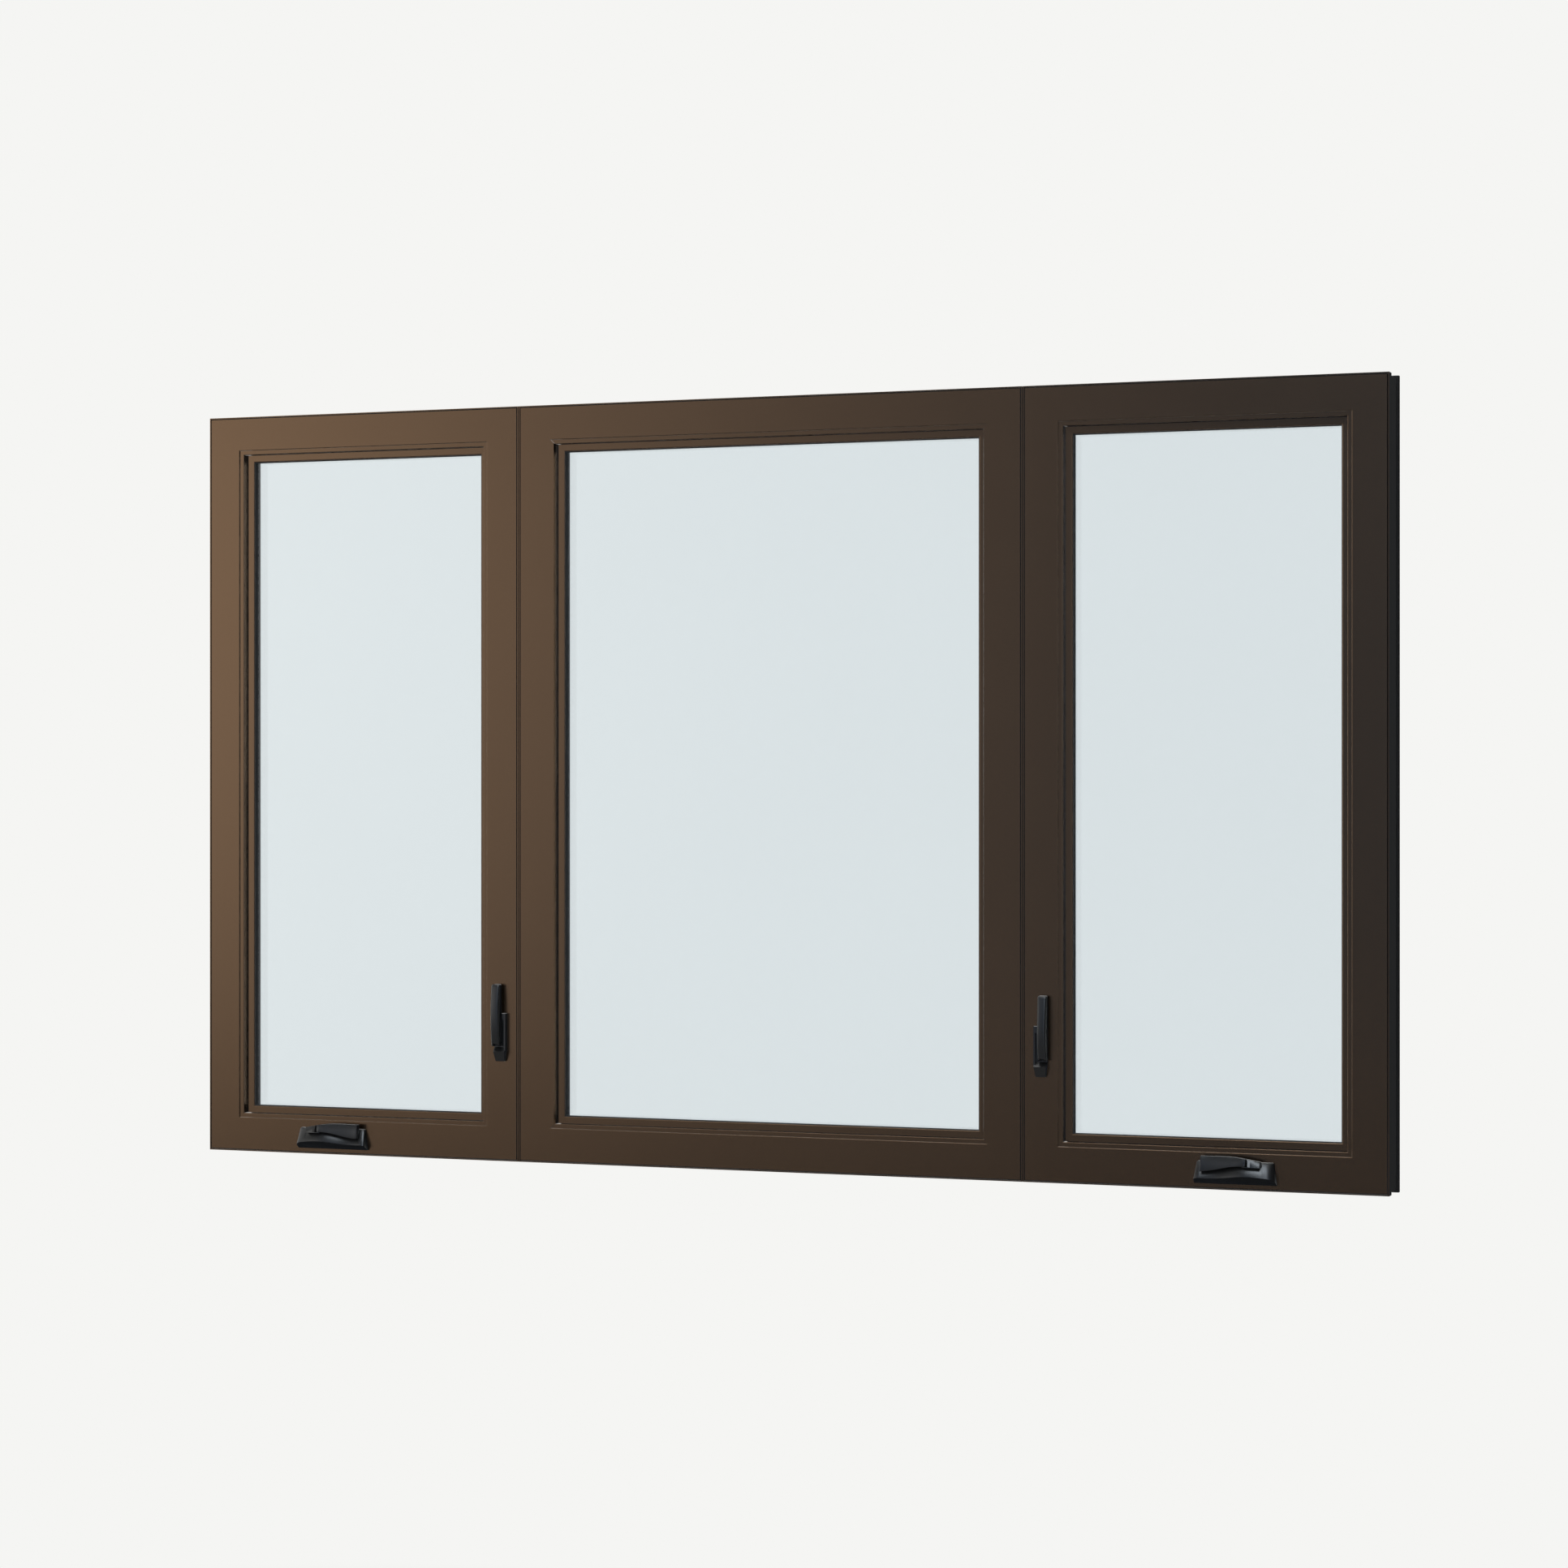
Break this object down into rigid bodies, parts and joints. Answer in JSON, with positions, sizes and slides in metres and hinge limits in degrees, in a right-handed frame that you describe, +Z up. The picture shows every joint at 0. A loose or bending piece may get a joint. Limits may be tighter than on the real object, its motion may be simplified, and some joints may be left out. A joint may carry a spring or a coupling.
{
  "type": "combination casement window",
  "caption": "Bronze combination window: a fixed centre light between two outward casements, with nested folding crank operators and lock levers on the room side.",
  "frame": {"origin": "on the flat underside of the centre sill, at mid width and mid frame depth", "axes": "+X to the right as seen from the room, +Y from the room to the outside, +Z up"},
  "size_m": [2.141, 0.1155, 1.323],
  "materials": {
    "bronze": "dark bronze paint, satin",
    "hardware": "near-black painted die casting, satin",
    "glass": "clear insulating glass, faint grey-green",
    "spacer": "black foam spacer, matt"
  },
  "bodies": {
    "window": {"left_frame_head": "bronze", "left_frame_sill": "bronze", "left_frame_hinge_jamb": "bronze", "left_frame_lock_jamb": "bronze", "left_sash_top_rail": "bronze", "left_sash_bottom_rail": "bronze", "left_sash_hinge_stile": "bronze", "left_sash_lock_stile": "bronze", "left_outside_bead": "bronze", "left_glass": "glass", "left_spacer": "spacer", "fixed_frame_head": "bronze", "fixed_frame_sill": "bronze", "fixed_frame_left_jamb": "bronze", "fixed_frame_right_jamb": "bronze", "fixed_glazing_top_rail": "bronze", "fixed_glazing_bottom_rail": "bronze", "fixed_glazing_left_stile": "bronze", "fixed_glazing_right_stile": "bronze", "fixed_outside_bead": "bronze", "fixed_glass": "glass", "fixed_spacer": "spacer", "right_frame_head": "bronze", "right_frame_sill": "bronze", "right_frame_hinge_jamb": "bronze", "right_frame_lock_jamb": "bronze", "right_sash_top_rail": "bronze", "right_sash_bottom_rail": "bronze", "right_sash_hinge_stile": "bronze", "right_sash_lock_stile": "bronze", "right_outside_bead": "bronze", "right_glass": "glass", "right_spacer": "spacer", "left_mull_cover": "bronze", "left_operator_cover": "hardware", "left_crank_hub": "hardware", "left_lock_plate": "hardware", "right_mull_cover": "bronze", "right_operator_cover": "hardware", "right_crank_hub": "hardware", "right_lock_plate": "hardware"},
    "left_crank_arm": {"left_crank_arm": "hardware"},
    "left_lock_lever": {"left_lock_lever": "hardware"},
    "right_crank_arm": {"right_crank_arm": "hardware"},
    "right_lock_lever": {"right_lock_lever": "hardware"}
  },
  "joints": [
    {"name": "left_crank_fold", "type": "hinge", "parent": "window", "child": "left_crank_arm", "pos_m": [-0.8375, -0.0654, 0.0385], "axis": [0, 0, -1], "range_deg": [0, 120]},
    {"name": "left_lock_turn", "type": "hinge", "parent": "window", "child": "left_lock_lever", "pos_m": [-0.496, -0.0522, 0.204], "axis": [1, 0, 0], "range_deg": [0, 130]},
    {"name": "right_crank_fold", "type": "hinge", "parent": "window", "child": "right_crank_arm", "pos_m": [0.8375, -0.0654, 0.0385], "axis": [0, 0, 1], "range_deg": [0, 120]},
    {"name": "right_lock_turn", "type": "hinge", "parent": "window", "child": "right_lock_lever", "pos_m": [0.496, -0.0522, 0.204], "axis": [1, 0, 0], "range_deg": [0, 130]}
  ]
}
